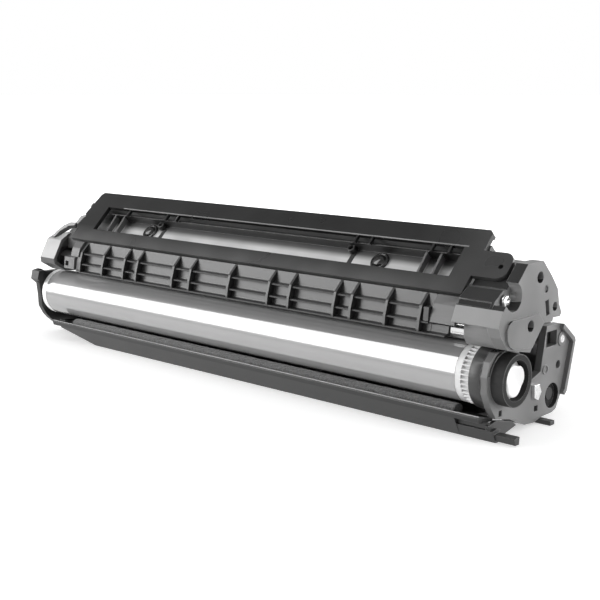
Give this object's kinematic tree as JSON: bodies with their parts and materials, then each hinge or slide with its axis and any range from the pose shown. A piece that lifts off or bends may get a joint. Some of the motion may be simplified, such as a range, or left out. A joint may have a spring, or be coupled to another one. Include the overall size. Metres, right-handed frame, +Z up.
{
  "type": "toner cartridge",
  "caption": "Wide toner cartridge: photoconductor drum with drive collar and gear, waste bin with chute, and a hinged hopper unit with ribbed guard and window frame.",
  "frame": {"origin": "centre of the drive collar's open face, on the drum's axis", "axes": "+X along the drum towards the driven end, +Y to the back (waste bin side), +Z up"},
  "size_m": [0.3861, 0.0807, 0.0975],
  "materials": {
    "black_plastic": "fine spark-eroded texture",
    "dark_grey_plastic": "satin mould finish",
    "natural_plastic": "smooth acetal, uncoloured",
    "drum_coating": "glossy photoconductor coat on an aluminium tube",
    "black_rubber": "smooth conductive rubber",
    "blade_rubber": "cast urethane sheet",
    "bright_steel": "nickel plated",
    "black_steel": "black oxide",
    "sheet_steel": "zinc plated sheet",
    "sleeve_metal": "grit blasted",
    "magnet": "bonded ferrite",
    "felt": "pressed fibre",
    "film": "thin polyester film",
    "foam": "closed-cell foam",
    "light_plug": "soft polyethylene"
  },
  "bodies": {
    "drum_unit": {"waste_bin": "black_plastic", "drive_end_plate": "dark_grey_plastic", "plain_end_plate": "dark_grey_plastic", "drum_pin": "bright_steel", "hinge_pins": "bright_steel", "plate_screws": "black_steel", "charge_contact": "bright_steel", "wiper_bracket": "sheet_steel", "wiper_blade": "blade_rubber", "recovery_film": "film", "felt_strip": "felt", "charge_springs": "bright_steel", "hopper_springs": "bright_steel"},
    "drum": {"drum_tube": "drum_coating", "drum_plain_flange": "natural_plastic", "drum_drive_flange": "natural_plastic"},
    "charge_blocks": {"charge_bearing_drive": "natural_plastic", "charge_bearing_plain": "natural_plastic"},
    "charge_roller": {"charge_roller": "black_rubber", "charge_shaft": "bright_steel"},
    "hopper_unit": {"magnet_core": "magnet", "hopper_shell": "dark_grey_plastic", "window_frame": "black_plastic", "rib_guard": "dark_grey_plastic", "hopper_drive_cap": "black_plastic", "hopper_plain_cap": "black_plastic", "idler_pin": "bright_steel", "doctor_bracket": "sheet_steel", "doctor_blade": "blade_rubber", "roller_seals": "foam", "fill_plug": "light_plug", "access_plugs": "black_plastic", "cap_screw": "bright_steel"},
    "developer": {"developer_sleeve": "sleeve_metal", "developer_gear": "natural_plastic", "developer_end_flange": "natural_plastic", "spacer_rings": "light_plug"},
    "idler": {"idler_gear": "natural_plastic"},
    "agitator": {"agitator_shaft": "natural_plastic", "agitator_gear": "natural_plastic", "agitator_paddle": "film"}
  },
  "joints": [
    {"name": "drum_spin", "type": "hinge", "parent": "drum_unit", "child": "drum", "pos_m": [0, 0, 0], "axis": [1, 0, 0], "continuous": true},
    {"name": "charge_press", "type": "slide", "parent": "drum_unit", "child": "charge_blocks", "axis": [0, 1, 0], "range_m": [0, 0.0003], "stiffness_N_per_m": 1200},
    {"name": "charge_spin", "type": "hinge", "parent": "charge_blocks", "child": "charge_roller", "pos_m": [0, 0.01745, -0.01222], "axis": [1, 0, 0], "continuous": true},
    {"name": "hopper_tilt", "type": "hinge", "parent": "drum_unit", "child": "hopper_unit", "pos_m": [0, 0.0521, 0.0112], "axis": [-1, 0, 0], "range_deg": [0, 2], "stiffness_Nm_per_rad": 40, "springref_deg": -1.15},
    {"name": "developer_spin", "type": "hinge", "parent": "hopper_unit", "child": "developer", "pos_m": [0, 0.0016, 0.02282], "axis": [1, 0, 0], "continuous": true},
    {"name": "idler_spin", "type": "hinge", "parent": "hopper_unit", "child": "idler", "pos_m": [0, 0.00637, 0.03704], "axis": [1, 0, 0], "continuous": true},
    {"name": "agitator_spin", "type": "hinge", "parent": "hopper_unit", "child": "agitator", "pos_m": [0, 0.021, 0.037], "axis": [1, 0, 0], "continuous": true}
  ],
  "couplings": [
    {"joint": "charge_spin", "follows": "drum_spin", "ratio": -2.5},
    {"joint": "developer_spin", "follows": "drum_spin", "ratio": -1.6522},
    {"joint": "idler_spin", "follows": "drum_spin", "ratio": 2.2353},
    {"joint": "agitator_spin", "follows": "drum_spin", "ratio": -1.7273}
  ]
}
